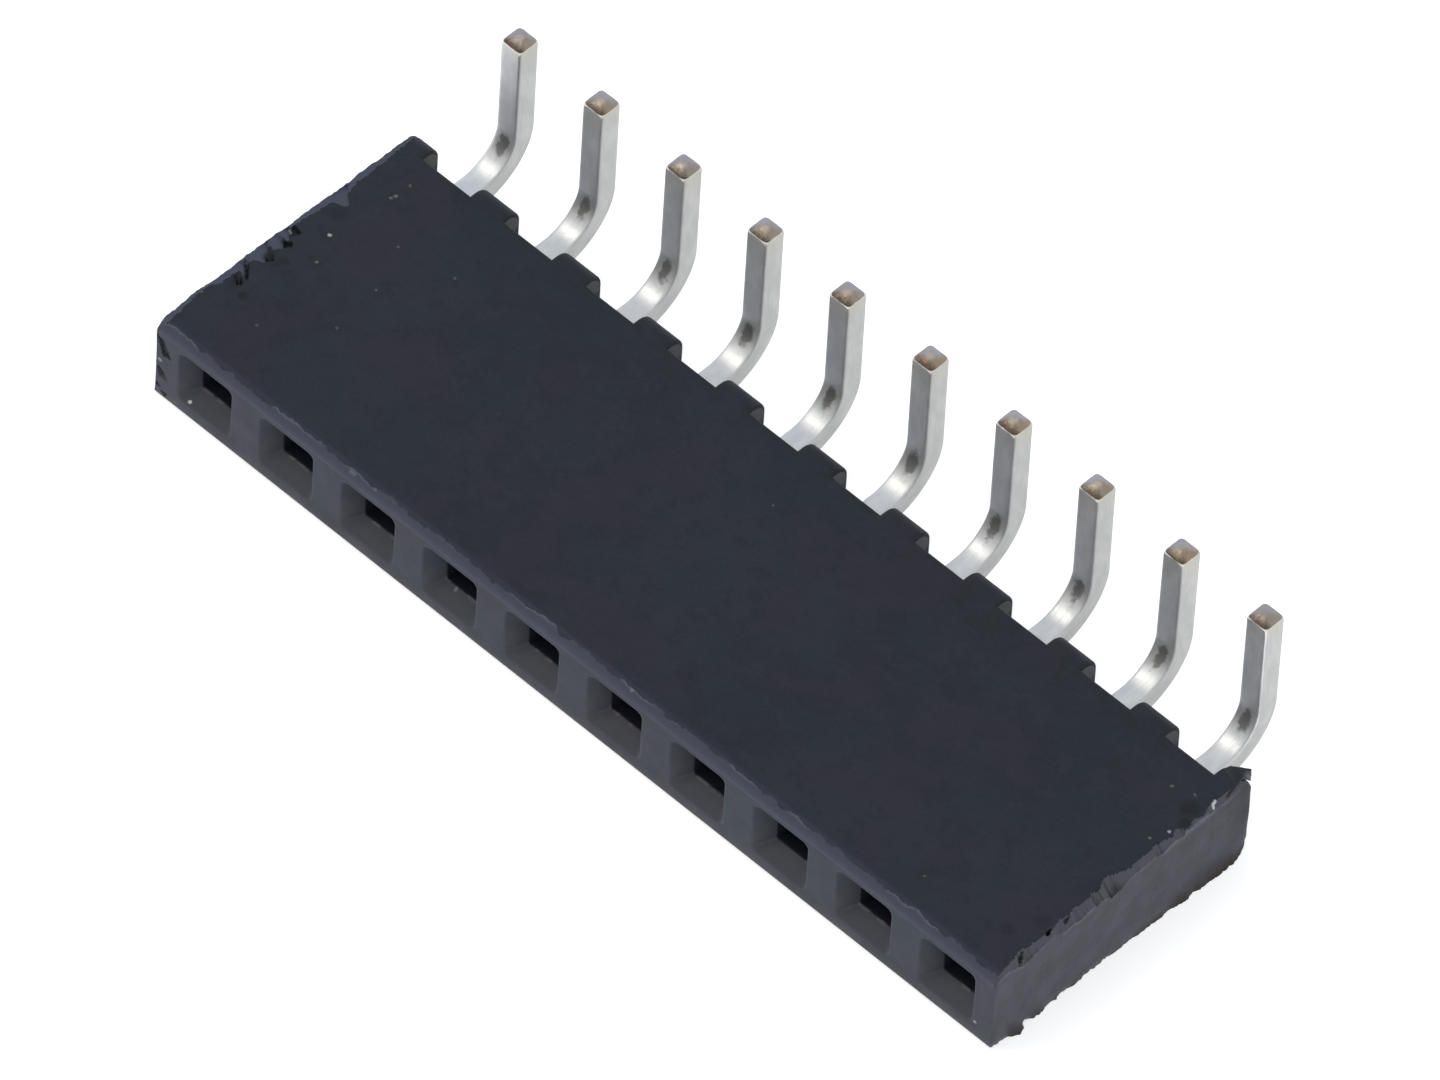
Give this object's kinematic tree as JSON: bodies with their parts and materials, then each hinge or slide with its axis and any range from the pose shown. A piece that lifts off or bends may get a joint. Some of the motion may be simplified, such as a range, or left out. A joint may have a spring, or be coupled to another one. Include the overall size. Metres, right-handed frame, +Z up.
{
  "type": "female pin header strip",
  "caption": "Single-row right-angle female pin header: black moulded housing with funnel-mouthed square sockets and bent square solder tails.",
  "frame": {"origin": "on the surface it lies on, under the middle of the overall box: x halfway between the two cut ends, y halfway between the mating face and the outer side of the tails, z at the lower broad face", "axes": "+X along the row from the first contact to the last, +Y from the mating face to the solder tails, +Z up, the way the tails point"},
  "size_m": [0.0258, 0.01, 0.0055],
  "materials": {
    "black_thermoplastic": "moulded glass-filled thermoplastic, fine matt, with rough cut ends",
    "tinned_bronze": "bright tin plate over phosphor bronze, bare copper colour at the sheared tips"
  },
  "bodies": {
    "root": {"housing": "black_thermoplastic", "contact_01": "tinned_bronze", "contact_02": "tinned_bronze", "contact_03": "tinned_bronze", "contact_04": "tinned_bronze", "contact_05": "tinned_bronze", "contact_06": "tinned_bronze", "contact_07": "tinned_bronze", "contact_08": "tinned_bronze", "contact_09": "tinned_bronze", "contact_10": "tinned_bronze"}
  },
  "joints": []
}
